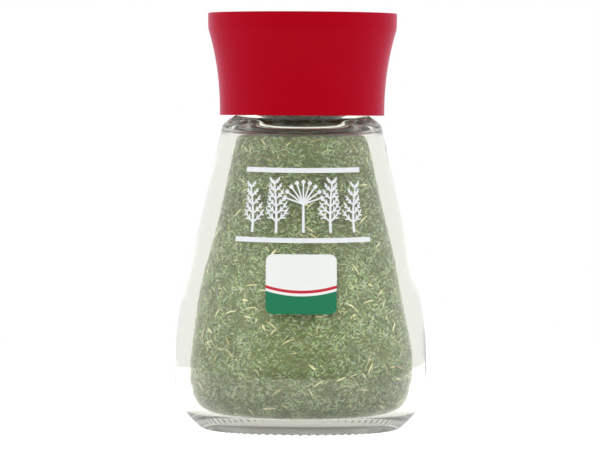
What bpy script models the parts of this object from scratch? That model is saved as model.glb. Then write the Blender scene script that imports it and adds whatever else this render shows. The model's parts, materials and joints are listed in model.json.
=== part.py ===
"""A conical glass spice jar with a red screw cap, filled with dried dill.

Metres, +Z up. The origin is the centre of the base, on the surface that the jar stands on. The
label is on the front, which faces -Y. The cap turns about the Z axis and climbs its thread.
"""

import math
import random

import bmesh
import bpy
from mathutils import Matrix, Vector

MM = 0.001
SEGMENTS = 48

# Driving dimensions of the whole, in millimetres
HEIGHT = 95.0
BELLY_R = 28.9
BELLY_Z = 10.8
CONE_FOOT = (23.7, 45.0)
CONE_TOP = (18.55, 67.6)
TOUCH_GAP = 0.3

# Glass, outside: points of the outline, and the two handles that pull each curve between them
BEARING_R = (20.4, 22.3)
HOLLOW_HEIGHT = 1.4
HOLLOW_PULL = ((11.0, HOLLOW_HEIGHT), (19.0, 0.8))
FOOT_EDGE = (22.9, 0.2)
HEEL_PULL = ((25.6, 2.6), (BELLY_R, 5.6))
BELLY_PULL = ((BELLY_R, 26.5), (26.55, 32.5))
SHOULDER_EDGE = (18.45, 68.1)
SHOULDER_PULL = ((18.25, 70.2), (17.0, 70.5))
SHOULDER_TOP = (15.9, 71.0)
NECK_R = 14.6
NECK_Z = 73.4
NECK_PULL = ((15.1, 71.35), (NECK_R, 72.0))

# Glass, inside: a rounded floor, a thick wall and a nearly flat shoulder that ends in a narrow bore
FLOOR_Z = 3.2
FLOOR_CORNER_R = 17.5
INNER_BELLY = (25.65, 12.0)
CORNER_PULL = ((23.0, FLOOR_Z), (25.65, 6.6))
INNER_FOOT = (20.0, 45.0)
INNER_BELLY_PULL = ((25.65, 22.0), (23.5, 30.0))
INNER_TOP = (15.02, 66.5)
TURN_PULL = ((14.86, 67.2), (14.6, 67.4))
INNER_SHOULDER = ((14.0, 67.5), (12.7, 67.75))
BORE_R = 11.9
BORE_Z = 68.8
MOUTH_PULL = ((12.2, 67.85), (BORE_R, 68.1))
RIM_Z = 90.8
RIM_ROUND = 0.8

# Screw thread: one start, right-handed, and the same rise for the neck and the cap
THREAD_RISE = 3.2
NECK_TURNS = 1.5
CAP_TURNS = 1.25
NECK_THREAD_Z = 79.2
NECK_CREST_R = 15.85
CAP_CREST_R = 14.95
THREAD_BASE = 1.4
THREAD_CREST = 0.7
THREAD_SUNK = 0.5
THREAD_FADE_STEPS = 5

# Shaker insert
INSERT_FLANGE_R = 14.2
INSERT_THICKNESS = 0.9
INSERT_PLUG_R = (10.55, 11.55)
INSERT_PLUG_DEPTH = 3.6
INSERT_PLUG_CHAMFER = (0.3, 0.6)
HOLE_R = 1.9
HOLE_CIRCLE_R = 5.7
HOLES_ON_CIRCLE = 6
HOLE_SEGMENTS = 16

# Cap liner and cap
LINER_R = 15.8
LINER_THICKNESS = 0.8
CAP_BOTTOM_Z = 71.7
CAP_BOTTOM_R = 18.8
CAP_FLARE_TOP = (21.46, 91.1)
CAP_FLARE_POWER = 2.2
CAP_FLARE_STEPS = 9
CAP_BAND = ((21.57, 92.0), (21.6, 93.2))
CAP_TOP_R = 21.6
CAP_EDGE_ROUND = 0.5
CAP_PLATE = 1.6
CAP_WALL_BOTTOM = 1.25
CAP_WALL_TOP = 2.2
INNER_SKIRT_R = (16.2, 17.1)
INNER_SKIRT_Z = 75.6

# Dill: a packed bed with a rough surface, and the slivers that stand out of it
DILL_INSET = 1.05
DILL_EDGE_Z = 66.4
DILL_HEAP = ((8.4, 66.9), (0, 67.0))
DILL_COLUMNS = 44
DILL_ROW_STEP = 2.6
DILL_RELIEF = 0.28
DILL_JITTER = 0.28
BITS = 150
BIT_LENGTH = (3.2, 4.6)
BIT_R = 0.62
BIT_LIFT = -0.04
BIT_ARCH = 0.3
BIT_TILT = math.radians(3)
BIT_HEADINGS = 24
DILL_SEED = 9270

# Label
LABEL_Z = (27.6, 40.8)
LABEL_WIDTH = 16.0
LABEL_ROUND = 1.6
LABEL_THICKNESS = 0.3
LABEL_COLUMNS = 14
LABEL_ROWS = 4


def finish(name, colour, roughness, transmission=0.0):
    """A material with the colour and gloss of one piece."""
    material = bpy.data.materials.new(name)
    material.use_nodes = True
    shader = material.node_tree.nodes["Principled BSDF"]
    shader.inputs["Base Color"].default_value = (*colour, 1)
    shader.inputs["Roughness"].default_value = roughness
    shader.inputs["Metallic"].default_value = 0
    shader.inputs["Transmission Weight"].default_value = transmission
    return material


def curve(start, pulls, end, steps):
    """Points on a cubic curve between two ends, pulled by two handles, without its start."""
    points = []
    corners = (start, *pulls, end)
    for step in range(1, steps + 1):
        t = step / steps
        weights = ((1 - t) ** 3, 3 * t * (1 - t) ** 2, 3 * t * t * (1 - t), t**3)
        points.append(tuple(sum(w * c[i] for w, c in zip(weights, corners)) for i in (0, 1)))
    return points


def object_from(mesh, name, material):
    """An object of a finished bmesh, shaded smooth where its faces meet at a low angle."""
    bmesh.ops.recalc_face_normals(mesh, faces=mesh.faces)
    data = bpy.data.meshes.new(name)
    mesh.to_mesh(data)
    mesh.free()
    data.shade_smooth()
    data.set_sharp_from_angle(angle=math.radians(35))
    if material:
        data.materials.append(material)
    made = bpy.data.objects.new(name, data)
    bpy.context.scene.collection.objects.link(made)
    return made


def turned(name, outline, material):
    """A solid of revolution about Z, from an outline of (radius, height) in millimetres."""
    mesh = bmesh.new()
    points = [mesh.verts.new((r * MM, 0, z * MM)) for r, z in outline]
    edges = [mesh.edges.new(pair) for pair in zip(points, points[1:])]
    if outline[0][0] > 0:
        edges.append(mesh.edges.new((points[-1], points[0])))
    bmesh.ops.spin(
        mesh, geom=points + edges, axis=(0, 0, 1), angle=math.tau, steps=SEGMENTS, use_merge=True
    )
    bmesh.ops.remove_doubles(mesh, verts=mesh.verts, dist=0.001 * MM)
    return object_from(mesh, name, material)


def thread(name, wall_r, crest_r, start_z, turns):
    """A ridge that climbs the wall from start_z, sunk into it, and fades in and out at its ends."""
    into_wall = math.copysign(THREAD_SUNK, wall_r - crest_r)
    steps = round(turns * SEGMENTS)
    mesh = bmesh.new()
    rows = []
    for step in range(steps + 1):
        angle = step / SEGMENTS * math.tau
        z = start_z + THREAD_RISE * step / SEGMENTS
        full = min(1, (min(step, steps - step) + 0.5) / THREAD_FADE_STEPS)
        crest = wall_r + into_wall / 2 + (crest_r - wall_r - into_wall / 2) * full
        row = []
        for r, half in (
            (wall_r + into_wall, THREAD_BASE / 2),
            (crest, THREAD_CREST / 2),
            (crest, -THREAD_CREST / 2),
            (wall_r + into_wall, -THREAD_BASE / 2),
        ):
            row.append(mesh.verts.new(Vector((r * math.cos(angle), r * math.sin(angle), z + half)) * MM))
        rows.append(row)
    for low, high in zip(rows, rows[1:]):
        for i in range(4):
            j = (i + 1) % 4
            mesh.faces.new((low[i], low[j], high[j], high[i]))
    mesh.faces.new(rows[0])
    mesh.faces.new(rows[-1])
    return object_from(mesh, name, None)


def applied(body, others, operation, solver="EXACT"):
    """Joins the others to the body, or cuts them from it, and removes them."""
    group = bpy.data.collections.new(body.name + "_tools")
    for other in others:
        bpy.context.scene.collection.objects.unlink(other)
        group.objects.link(other)
    modifier = body.modifiers.new(operation.lower(), "BOOLEAN")
    modifier.operation = operation
    modifier.solver = solver
    modifier.operand_type = "COLLECTION"
    modifier.collection = group
    graph = bpy.context.evaluated_depsgraph_get()
    result = bpy.data.meshes.new_from_object(body.evaluated_get(graph))
    body.modifiers.remove(modifier)
    body.data = result
    result.name = body.name
    for other in others:
        bpy.data.objects.remove(other)
    bpy.data.collections.remove(group)
    return body


def outer_wall():
    """The outside of the glass, from the outer edge of its bearing ring up to the foot of the neck."""
    heel = curve(FOOT_EDGE, HEEL_PULL, (BELLY_R, BELLY_Z), 5)
    belly = curve((BELLY_R, BELLY_Z), BELLY_PULL, CONE_FOOT, 5)
    shoulder = curve(SHOULDER_EDGE, SHOULDER_PULL, SHOULDER_TOP, 5)
    neck_foot = curve(SHOULDER_TOP, NECK_PULL, (NECK_R, NECK_Z), 3)
    return [FOOT_EDGE, *heel, *belly, CONE_TOP, SHOULDER_EDGE, *shoulder, *neck_foot]


def inner_wall():
    """The inside of the glass, from the middle of its floor up to the foot of the bore."""
    corner = curve((FLOOR_CORNER_R, FLOOR_Z), CORNER_PULL, INNER_BELLY, 5)
    belly = curve(INNER_BELLY, INNER_BELLY_PULL, INNER_FOOT, 4)
    turn = curve(INNER_TOP, TURN_PULL, INNER_SHOULDER[0], 2)
    mouth = curve(INNER_SHOULDER[1], MOUTH_PULL, (BORE_R, BORE_Z), 2)
    walls = [*corner, *belly, INNER_TOP, *turn, INNER_SHOULDER[1], *mouth]
    return [(0, FLOOR_Z), (FLOOR_CORNER_R, FLOOR_Z), *walls]


def rounded(start, corner, end, steps):
    """An edge that is rounded off between its two ends."""
    return [start, *curve(start, (corner, corner), end, steps)]


def glass_jar():
    """Body, shoulder, neck and thread in one piece of glass, with a hollowed underside."""
    hollow = curve((0, HOLLOW_HEIGHT), HOLLOW_PULL, (BEARING_R[0], 0), 3)
    outline = [(0, HOLLOW_HEIGHT), *hollow, (BEARING_R[1], 0), *outer_wall()]
    low = RIM_Z - RIM_ROUND
    outline += rounded((NECK_R, low), (NECK_R, RIM_Z), (NECK_R - RIM_ROUND, RIM_Z), 2)
    outline += rounded((BORE_R + RIM_ROUND, RIM_Z), (BORE_R, RIM_Z), (BORE_R, low), 2)
    outline += reversed(inner_wall())
    glass = finish("clear_glass", (0.93, 0.96, 0.94), 0.03, transmission=1.0)
    jar = turned("glass_jar", outline, glass)
    ridge = thread("neck_thread", NECK_R, NECK_CREST_R, NECK_THREAD_Z, NECK_TURNS)
    return applied(jar, [ridge], "UNION")


def shaker_insert():
    """A disc on the glass rim, with a plug skirt in the bore and a ring of holes round a middle one."""
    low = RIM_Z + TOUCH_GAP
    high = low + INSERT_THICKNESS
    plug_in, plug_out = INSERT_PLUG_R
    plug_low = low - INSERT_PLUG_DEPTH
    cut_in, cut_up = INSERT_PLUG_CHAMFER
    outline = [(0, high), (INSERT_FLANGE_R, high), (INSERT_FLANGE_R, low), (plug_out, low)]
    outline += [(plug_out, plug_low + cut_up), (plug_out - cut_in, plug_low), (plug_in, plug_low)]
    outline += [(plug_in, low), (0, low)]
    insert = turned("shaker_insert", outline, finish("natural_polyethylene", (0.82, 0.82, 0.78), 0.4))
    places = [Vector((0, 0, 0))]
    for i in range(HOLES_ON_CIRCLE):
        turn = Matrix.Rotation(i / HOLES_ON_CIRCLE * math.tau, 3, "Z")
        places.append(turn @ Vector((HOLE_CIRCLE_R, 0, 0)))
    cutters = []
    for place in places:
        mesh = bmesh.new()
        bmesh.ops.create_cone(
            mesh,
            cap_ends=True,
            segments=HOLE_SEGMENTS,
            radius1=HOLE_R * MM,
            radius2=HOLE_R * MM,
            depth=4 * INSERT_THICKNESS * MM,
            matrix=Matrix.Translation((place + Vector((0, 0, (low + high) / 2))) * MM),
        )
        cutters.append(object_from(mesh, "hole", None))
    return applied(insert, cutters, "DIFFERENCE")


def cap_liner():
    """A foam disc that the closed cap holds down on the insert's flange."""
    low = RIM_Z + 2 * TOUCH_GAP + INSERT_THICKNESS
    high = low + LINER_THICKNESS
    foam = finish("liner_foam", (0.85, 0.84, 0.8), 0.8)
    return turned("cap_liner", [(0, high), (LINER_R, high), (LINER_R, low), (0, low)], foam)


def screw_cap():
    """The outer skirt flares to a straight band under the flat top; the inner skirt holds the thread."""
    flare_r, flare_z = CAP_FLARE_TOP
    outside, inside = [], []
    for i in range(CAP_FLARE_STEPS + 1):
        share = i / CAP_FLARE_STEPS
        r = CAP_BOTTOM_R + (flare_r - CAP_BOTTOM_R) * share**CAP_FLARE_POWER
        z = CAP_BOTTOM_Z + (flare_z - CAP_BOTTOM_Z) * share
        outside.append((r, z))
        inside.append((r - CAP_WALL_BOTTOM - (CAP_WALL_TOP - CAP_WALL_BOTTOM) * share, z))
    outside += CAP_BAND
    top_edge = (CAP_TOP_R, HEIGHT - CAP_EDGE_ROUND)
    edge = rounded((CAP_TOP_R - CAP_EDGE_ROUND, HEIGHT), (CAP_TOP_R, HEIGHT), top_edge, 3)
    under = HEIGHT - CAP_PLATE
    skirt_in, skirt_out = INNER_SKIRT_R
    outline = [(0, HEIGHT), *edge, *reversed(outside), *inside]
    outline += [(inside[-1][0], under), (skirt_out, under), (skirt_out, INNER_SKIRT_Z)]
    outline += [(skirt_in, INNER_SKIRT_Z), (skirt_in, under), (0, under)]
    cap = turned("screw_cap", outline, finish("red_plastic", (0.42, 0.005, 0.012), 0.38))
    start = NECK_THREAD_Z - THREAD_RISE / 2
    ridge = thread("cap_thread", skirt_in, CAP_CREST_R, start, CAP_TURNS)
    return applied(cap, [ridge], "UNION")


def inset(outline, distance):
    """The outline of the glass's inside, moved in from the glass by a distance."""
    moved = []
    for i, (r, z) in enumerate(outline):
        before = Vector(outline[max(i - 1, 0)])
        after = Vector(outline[min(i + 1, len(outline) - 1)])
        along = (after - before).normalized()
        point = Vector((max(r - along.y * distance, 0), z + along.x * distance))
        if not moved or (point - moved[-1]).dot(along) > 0:
            moved.append(point)
    return [tuple(point) for point in moved]


def depth(point, wall):
    """How far a point lies in from the inner wall of the glass; less than 0 in the glass."""
    here = Vector((math.hypot(point.x, point.y), point.z))
    found = []
    for start, end in zip(wall, wall[1:]):
        along = Vector(end) - Vector(start)
        share = (here - Vector(start)).dot(along) / along.length_squared
        away = Vector(start) + along * min(max(share, 0), 1) - here
        side = away.dot(Vector((along.y, -along.x)))
        found.append((away.length, math.copysign(away.length, side)))
    return min(found)[1]


def dill_bit(place, out, length, heading, tilt):
    """The two tips and the three middle corners of a sliver that lies on the surface under out."""
    across = out.cross(Vector((0, 0, 1)) if abs(out.z) < 0.9 else Vector((1, 0, 0))).normalized()
    along = Matrix.Rotation(heading, 3, out) @ across
    side = out.cross(along)
    along = Matrix.Rotation(tilt, 3, side) @ along
    up = along.cross(side)
    tips = [place + along * end * length / 2 - up * BIT_ARCH for end in (-1, 1)]
    angles = [i / 3 * math.tau for i in range(3)]
    return tips, [place + (side * math.cos(angle) + up * math.sin(angle)) * BIT_R for angle in angles]


def sliver(tips, ring):
    """A three-sided bit of leaf, pointed at both ends."""
    mesh = bmesh.new()
    tips = [mesh.verts.new(tip * MM) for tip in tips]
    ring = [mesh.verts.new(corner * MM) for corner in ring]
    for i in range(3):
        mesh.faces.new((ring[i], ring[(i + 1) % 3], tips[0]))
        mesh.faces.new((ring[(i + 1) % 3], ring[i], tips[1]))
    return object_from(mesh, "bit", None)


def spaced(outline, step):
    """Points and outward normals an even step apart along an outline, without its two ends."""
    lengths = [math.dist(a, b) for a, b in zip(outline, outline[1:])]
    count = round(sum(lengths) / step)
    found = []
    for i in range(1, count):
        left = i / count * sum(lengths)
        part = 0
        while left > lengths[part]:
            left -= lengths[part]
            part += 1
        start, end = Vector(outline[part]), Vector(outline[part + 1])
        along = (end - start).normalized()
        found.append((start + along * left, Vector((along.y, -along.x))))
    return found


def dill_bed(outline, rng):
    """A body of revolution whose surface is broken up by a seeded push on every corner."""
    mesh = bmesh.new()
    rows = []
    for place, out in spaced(outline, DILL_ROW_STEP):
        cell = math.tau / DILL_COLUMNS
        row = []
        for column in range(DILL_COLUMNS):
            angle = (column + rng.uniform(-DILL_JITTER, DILL_JITTER)) * cell
            along = Vector((-out.y, out.x)) * rng.uniform(-DILL_JITTER, DILL_JITTER) * DILL_ROW_STEP
            r, z = place + along + out * rng.uniform(-DILL_RELIEF, DILL_RELIEF)
            row.append(mesh.verts.new(Vector((r * math.cos(angle), r * math.sin(angle), z)) * MM))
        rows.append(row)
    bottom, top = (mesh.verts.new((0, 0, z * MM)) for z in (outline[0][1], outline[-1][1]))
    for i in range(DILL_COLUMNS):
        j = (i + 1) % DILL_COLUMNS
        mesh.faces.new((bottom, rows[0][j], rows[0][i]))
        mesh.faces.new((top, rows[-1][i], rows[-1][j]))
        for low, high in zip(rows, rows[1:]):
            mesh.faces.new((low[i], low[j], high[j]))
            mesh.faces.new((low[i], high[j], high[i]))
    return object_from(mesh, "dried_dill", finish("dried_leaf", (0.2, 0.23, 0.1), 0.85))


def dried_dill():
    """The packed leaf: a rough bed up to the foot of the neck, with slivers spread evenly over it."""
    wall = [*inner_wall(), (BORE_R, RIM_Z)]
    outline = [point for point in inset(inner_wall(), DILL_INSET) if point[1] < DILL_EDGE_Z]
    outline += DILL_HEAP
    rng = random.Random(DILL_SEED)
    bed = dill_bed(outline, rng)
    sites = spaced(outline, DILL_ROW_STEP)
    total = sum(place.x for place, out in sites)
    golden = math.pi * (3 - math.sqrt(5))
    bits = []
    for i in range(BITS):
        wanted = (i + 0.5) / BITS * total
        site = 0
        while wanted > sites[site][0].x:
            wanted -= sites[site][0].x
            site += 1
        place, out = sites[site]
        place = place + Vector((-out.y, out.x)) * rng.uniform(-DILL_JITTER, DILL_JITTER) * DILL_ROW_STEP
        turn = Matrix.Rotation(i * golden, 3, "Z")
        stands = turn @ Vector((out.x, 0, out.y))
        middle = turn @ Vector((place.x, 0, place.y)) + stands * BIT_LIFT
        length = rng.uniform(*BIT_LENGTH)
        for attempt in range(BIT_HEADINGS):
            tilt = rng.uniform(-BIT_TILT, BIT_TILT)
            tips, ring = dill_bit(middle, stands, length, rng.uniform(0, math.tau), tilt)
            if min(depth(corner, wall) for corner in (*tips, *ring)) > TOUCH_GAP:
                bits.append(sliver(tips, ring))
                break
    return applied(bed, bits, "UNION", solver="MANIFOLD")


def label():
    """A thin sticker with rounded corners, bent round the front of the cone."""
    outline = outer_wall()
    middle = sum(LABEL_Z) / 2
    half_height = (LABEL_Z[1] - LABEL_Z[0]) / 2
    half_width = LABEL_WIDTH / 2

    def glass_radius(z):
        for (r, low), (next_r, high) in zip(outline, outline[1:]):
            if low <= z <= high:
                return r + (next_r - r) * (z - low) / (high - low)
        raise ValueError("the label is off the glass")

    mesh = bmesh.new()
    corners = {}
    for layer, lift in enumerate((TOUCH_GAP, TOUCH_GAP + LABEL_THICKNESS)):
        for column in range(LABEL_COLUMNS + 1):
            across = -math.cos(column / LABEL_COLUMNS * math.pi) * half_width
            past = max(0, abs(across) - (half_width - LABEL_ROUND))
            reach = half_height - LABEL_ROUND + math.sqrt(max(LABEL_ROUND**2 - past**2, 0))
            for row in range(LABEL_ROWS + 1):
                z = middle + (2 * row / LABEL_ROWS - 1) * reach
                radius = glass_radius(z) + lift
                angle = across / glass_radius(z) - math.pi / 2
                place = Vector((radius * math.cos(angle), radius * math.sin(angle), z)) * MM
                corners[layer, column, row] = mesh.verts.new(place)
    for layer in (0, 1):
        for column in range(LABEL_COLUMNS):
            for row in range(LABEL_ROWS):
                patch = ((column, row), (column + 1, row), (column + 1, row + 1), (column, row + 1))
                mesh.faces.new([corners[layer, *corner] for corner in patch])
    rim = [(column, 0) for column in range(LABEL_COLUMNS)]
    rim += [(LABEL_COLUMNS, row) for row in range(LABEL_ROWS)]
    rim += [(column, LABEL_ROWS) for column in range(LABEL_COLUMNS, 0, -1)]
    rim += [(0, row) for row in range(LABEL_ROWS, 0, -1)]
    for here, there in zip(rim, rim[1:] + rim[:1]):
        mesh.faces.new((corners[0, *here], corners[0, *there], corners[1, *there], corners[1, *here]))
    return object_from(mesh, "label", finish("label_film", (0.9, 0.92, 0.9), 0.35))


for old in list(bpy.data.objects):
    bpy.data.objects.remove(old)
glass_jar()
shaker_insert()
dried_dill()
cap_liner()
screw_cap()
label()
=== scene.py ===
"""The looks of a conical glass spice jar of dried dill with a red screw cap."""

import json
import math

import bmesh
import bpy
import numpy as np
from mathutils import Matrix, Vector

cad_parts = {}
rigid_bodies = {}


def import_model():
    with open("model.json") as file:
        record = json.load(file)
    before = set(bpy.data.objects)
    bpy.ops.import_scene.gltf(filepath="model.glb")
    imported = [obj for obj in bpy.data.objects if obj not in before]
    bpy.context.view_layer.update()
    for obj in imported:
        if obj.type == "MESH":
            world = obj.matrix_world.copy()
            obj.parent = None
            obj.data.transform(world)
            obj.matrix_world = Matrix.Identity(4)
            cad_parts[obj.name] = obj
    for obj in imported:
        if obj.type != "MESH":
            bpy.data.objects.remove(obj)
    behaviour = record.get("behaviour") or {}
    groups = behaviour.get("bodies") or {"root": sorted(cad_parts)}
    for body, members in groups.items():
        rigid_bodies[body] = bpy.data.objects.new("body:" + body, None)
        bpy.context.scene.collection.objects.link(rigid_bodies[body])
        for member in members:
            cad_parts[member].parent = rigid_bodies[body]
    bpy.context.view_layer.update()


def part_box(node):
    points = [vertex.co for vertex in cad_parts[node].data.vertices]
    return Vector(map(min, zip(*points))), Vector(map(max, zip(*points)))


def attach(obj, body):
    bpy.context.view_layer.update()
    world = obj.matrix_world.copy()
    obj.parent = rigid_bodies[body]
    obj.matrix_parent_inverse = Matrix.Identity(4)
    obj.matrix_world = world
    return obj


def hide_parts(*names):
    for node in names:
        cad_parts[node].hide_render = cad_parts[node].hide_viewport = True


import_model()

# The glass jar is one piece of clear soda-lime glass, pressed and blown in a two-part mould. Its base
# is thick and hollowed underneath, and stands on a ring of small bumps. The neck carries a turn and a
# half of rounded screw thread, and the rim is fire-polished.
MM = 0.001
BELLY_R = 28.9
BELLY_Z = 10.8
FOOT_EDGE = (22.9, 0.35)
CONE_FOOT = (23.7, 45.0)
CONE_TOP = (18.55, 67.6)
FLOOR_Z = 3.2
FLOOR_CORNER_R = 17.5
INNER_BELLY = (25.65, 12.0)
INNER_FOOT = (20.0, 45.0)
INNER_TOP = (15.02, 66.5)
NECK_R = 14.6
NECK_Z = 73.4
BORE_R = 11.9
RIM_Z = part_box("glass_jar")[1].z / MM
RIM_ROUND = 0.8
GLASS_SEGMENTS = 432
BEARING_R = (20.3, 22.8)
BEARING_BUMPS = 72
BUMP_HEIGHT = 0.35
THREAD_RISE = 3.2
THREAD_HALF_WIDTH = 0.75
THREAD_FADE = 0.08
NECK_TURNS = 1.5
NECK_THREAD_Z = 79.2
NECK_CREST = 1.25
WALL_WAVE = 0.035


def curve(start, first, second, end, steps):
    """Points on a cubic curve between two ends, pulled by two handles, without its start."""
    points = []
    for step in range(1, steps + 1):
        t = step / steps
        weights = ((1 - t) ** 3, 3 * t * (1 - t) ** 2, 3 * t * t * (1 - t), t**3)
        corners = (start, first, second, end)
        points.append(tuple(sum(w * c[i] for w, c in zip(weights, corners)) for i in (0, 1)))
    return points


def straight(start, end, steps):
    """Points on a line between two ends, without its start."""
    return [tuple(np.array(start) + (np.array(end) - start) * i / steps) for i in range(1, steps + 1)]


def turned(name, outline, segments, shape=None):
    """A mesh turned about Z from (radius, height) in millimetres; shape moves each (angle, radius, height)."""
    mesh = bmesh.new()
    points = [mesh.verts.new((r, 0, z)) for r, z in outline]
    edges = [mesh.edges.new(pair) for pair in zip(points, points[1:])]
    if outline[0][0] > 0:
        edges.append(mesh.edges.new((points[-1], points[0])))
    bmesh.ops.spin(
        mesh, geom=points + edges, axis=(0, 0, 1), angle=math.tau, steps=segments, use_merge=True
    )
    bmesh.ops.remove_doubles(mesh, verts=mesh.verts, dist=0.001)
    for vert in mesh.verts:
        if shape:
            angle = math.atan2(vert.co.y, vert.co.x) % math.tau
            r, z = shape(angle, math.hypot(vert.co.x, vert.co.y), vert.co.z)
            vert.co = (r * math.cos(angle), r * math.sin(angle), z)
        vert.co *= MM
    return finished(name, mesh)


def finished(name, mesh, sharp_angle=35):
    """A bmesh as an object, faces out and smooth where they meet at a low angle."""
    bmesh.ops.recalc_face_normals(mesh, faces=mesh.faces)
    data = bpy.data.meshes.new(name)
    mesh.to_mesh(data)
    mesh.free()
    data.shade_smooth()
    data.set_sharp_from_angle(angle=math.radians(sharp_angle))
    made = bpy.data.objects.new(name, data)
    bpy.context.scene.collection.objects.link(made)
    return made


def thread_ridge(angle, z, start_z, turns):
    """How far a rounded thread stands out at this place, from 0 at its foot to 1 at its crest."""
    found = 0.0
    for whole in range(math.ceil(turns) + 1):
        along = angle / math.tau + whole
        if 0 <= along <= turns:
            off = abs(z - start_z - THREAD_RISE * along) / THREAD_HALF_WIDTH
            fade = min(1, min(along, turns - along) / THREAD_FADE)
            if off < 1:
                found = max(found, fade * min(1, 1.6 * math.cos(off * math.pi / 2)))
    return found


def glass_outside():
    """The outside of the glass, from the outer edge of its bearing ring up to the foot of the neck."""
    heel = curve(FOOT_EDGE, (25.6, 2.6), (BELLY_R, 5.6), (BELLY_R, BELLY_Z), 18)
    belly = curve((BELLY_R, BELLY_Z), (BELLY_R, 26.5), (26.55, 32.5), CONE_FOOT, 14)
    shoulder = curve((18.45, 68.1), (18.25, 70.2), (17.0, 70.55), (15.6, 71.35), 14)
    root = curve(shoulder[-1], (14.95, 71.75), (NECK_R, 72.3), (NECK_R, NECK_Z), 8)
    return [FOOT_EDGE, *heel, *belly, *straight(CONE_FOOT, CONE_TOP, 6), (18.45, 68.1), *shoulder, *root]


def glass_inside():
    """The inside of the glass, from the middle of its floor up to the foot of the bore."""
    corner = curve((FLOOR_CORNER_R, FLOOR_Z), (23.0, FLOOR_Z), (INNER_BELLY[0], 6.6), INNER_BELLY, 14)
    belly = curve(INNER_BELLY, (INNER_BELLY[0], 22.0), (23.5, 30.0), INNER_FOOT, 12)
    turn = curve(INNER_TOP, (14.86, 67.2), (14.6, 67.4), (14.0, 67.5), 8)
    mouth = curve((12.7, 67.75), (12.2, 67.85), (BORE_R, 68.1), (BORE_R, 68.8), 6)
    sides = [*corner, *belly, *straight(INNER_FOOT, INNER_TOP, 5), *turn]
    return [(0, FLOOR_Z), (FLOOR_CORNER_R, FLOOR_Z), *sides, (12.7, 67.75), *mouth]


def glass_outline():
    hollow = curve((0, 1.4), (11.0, 1.4), (19.0, 1.0), (BEARING_R[0], FOOT_EDGE[1]), 8)
    ring = straight(hollow[-1], (BEARING_R[1], FOOT_EDGE[1]), 8)
    neck = straight((NECK_R, NECK_Z), (NECK_R, RIM_Z - RIM_ROUND), 66)
    rim = curve(neck[-1], (NECK_R, RIM_Z), (NECK_R, RIM_Z), (NECK_R - RIM_ROUND, RIM_Z), 6)
    mouth = (BORE_R + RIM_ROUND, RIM_Z)
    rim_inside = curve(mouth, (BORE_R, RIM_Z), (BORE_R, RIM_Z), (BORE_R, RIM_Z - RIM_ROUND), 6)
    outside = [(0, 1.4), *hollow, *ring, *glass_outside(), *neck, *rim]
    return [*outside, mouth, *rim_inside, *reversed(glass_inside())]


def glass_shape(angle, r, z):
    """The bumps under the bearing ring, the screw thread and the slight waves of a blown inner wall."""
    low, high = BEARING_R
    if low < r < high and z < 1:
        across = math.sin((r - low) / (high - low) * math.pi) ** 0.7
        bump = max(0.0, math.cos(angle * BEARING_BUMPS)) ** 0.7
        return r, z - BUMP_HEIGHT * across * bump
    if abs(r - NECK_R) < 0.01 and z < RIM_Z - 2 * RIM_ROUND:
        return r + NECK_CREST * thread_ridge(angle, z, NECK_THREAD_Z, NECK_TURNS), z
    inner_r = np.interp(z, [p[1] for p in INSIDE_WALL], [p[0] for p in INSIDE_WALL])
    if 12.0 < z < 66.0 and abs(r - inner_r) < 0.2:
        return r + WALL_WAVE * (math.sin(3 * angle + z / 7) + math.sin(5 * angle - z / 4)), z
    return r, z


INSIDE_WALL = glass_inside()[2:]
glass_jar = turned("glass_body", glass_outline(), GLASS_SEGMENTS, glass_shape)


def painted(name, base, roughness):
    """A new Principled material, with its tree and its shader."""
    material = bpy.data.materials.new(name)
    material.use_nodes = True
    tree = material.node_tree
    shader = tree.nodes["Principled BSDF"]
    shader.inputs["Base Color"].default_value = (*base, 1)
    shader.inputs["Roughness"].default_value = roughness
    return material, tree, shader


def node(tree, kind, inputs=None, **settings):
    """Adds a node; an input is a value, or the socket of another node that feeds it."""
    made = tree.nodes.new(kind)
    for key, value in settings.items():
        setattr(made, key, value)
    for key, value in (inputs or {}).items():
        if isinstance(value, bpy.types.NodeSocket):
            tree.links.new(value, made.inputs[key])
        else:
            made.inputs[key].default_value = value
    return made


def surface_group():
    """The shared fine surface of moulded and printed pieces: grain, slow unevenness and faint mottling."""
    group = bpy.data.node_groups.new("fine_surface", "ShaderNodeTree")
    for name, value in (("Grain Size", 0.2), ("Grain", 1.0), ("Wave Size", 6.0), ("Wave", 0.3)):
        socket = group.interface.new_socket(name, in_out="INPUT", socket_type="NodeSocketFloat")
        socket.default_value = value
    for name in ("Roughness", "Spread"):
        group.interface.new_socket(name, in_out="INPUT", socket_type="NodeSocketFloat").default_value = 0.1
    for name in ("Height", "Mottle", "Roughness"):
        group.interface.new_socket(name, in_out="OUTPUT", socket_type="NodeSocketFloat")
    taken = node(group, "NodeGroupInput").outputs
    given = node(group, "NodeGroupOutput").inputs
    place = node(group, "ShaderNodeTexCoord").outputs["Object"]

    def noise(size, detail):
        scale = node(group, "ShaderNodeMath", {0: 1 / MM, 1: size}, operation="DIVIDE").outputs[0]
        return node(group, "ShaderNodeTexNoise", {"Vector": place, "Scale": scale, "Detail": detail}).outputs[0]

    grain = noise(taken["Grain Size"], 2.0)
    wave = noise(taken["Wave Size"], 3.0)
    fine = node(group, "ShaderNodeMath", {0: grain, 1: taken["Grain"]}, operation="MULTIPLY").outputs[0]
    height = node(
        group, "ShaderNodeMath", {0: wave, 1: taken["Wave"], 2: fine}, operation="MULTIPLY_ADD"
    ).outputs[0]
    centred = node(group, "ShaderNodeMath", {0: wave, 1: 0.5}, operation="SUBTRACT").outputs[0]
    rough = node(
        group,
        "ShaderNodeMath",
        {0: centred, 1: taken["Spread"], 2: taken["Roughness"]},
        operation="MULTIPLY_ADD",
    ).outputs[0]
    group.links.new(height, given["Height"])
    group.links.new(wave, given["Mottle"])
    group.links.new(rough, given["Roughness"])
    return group


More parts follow.
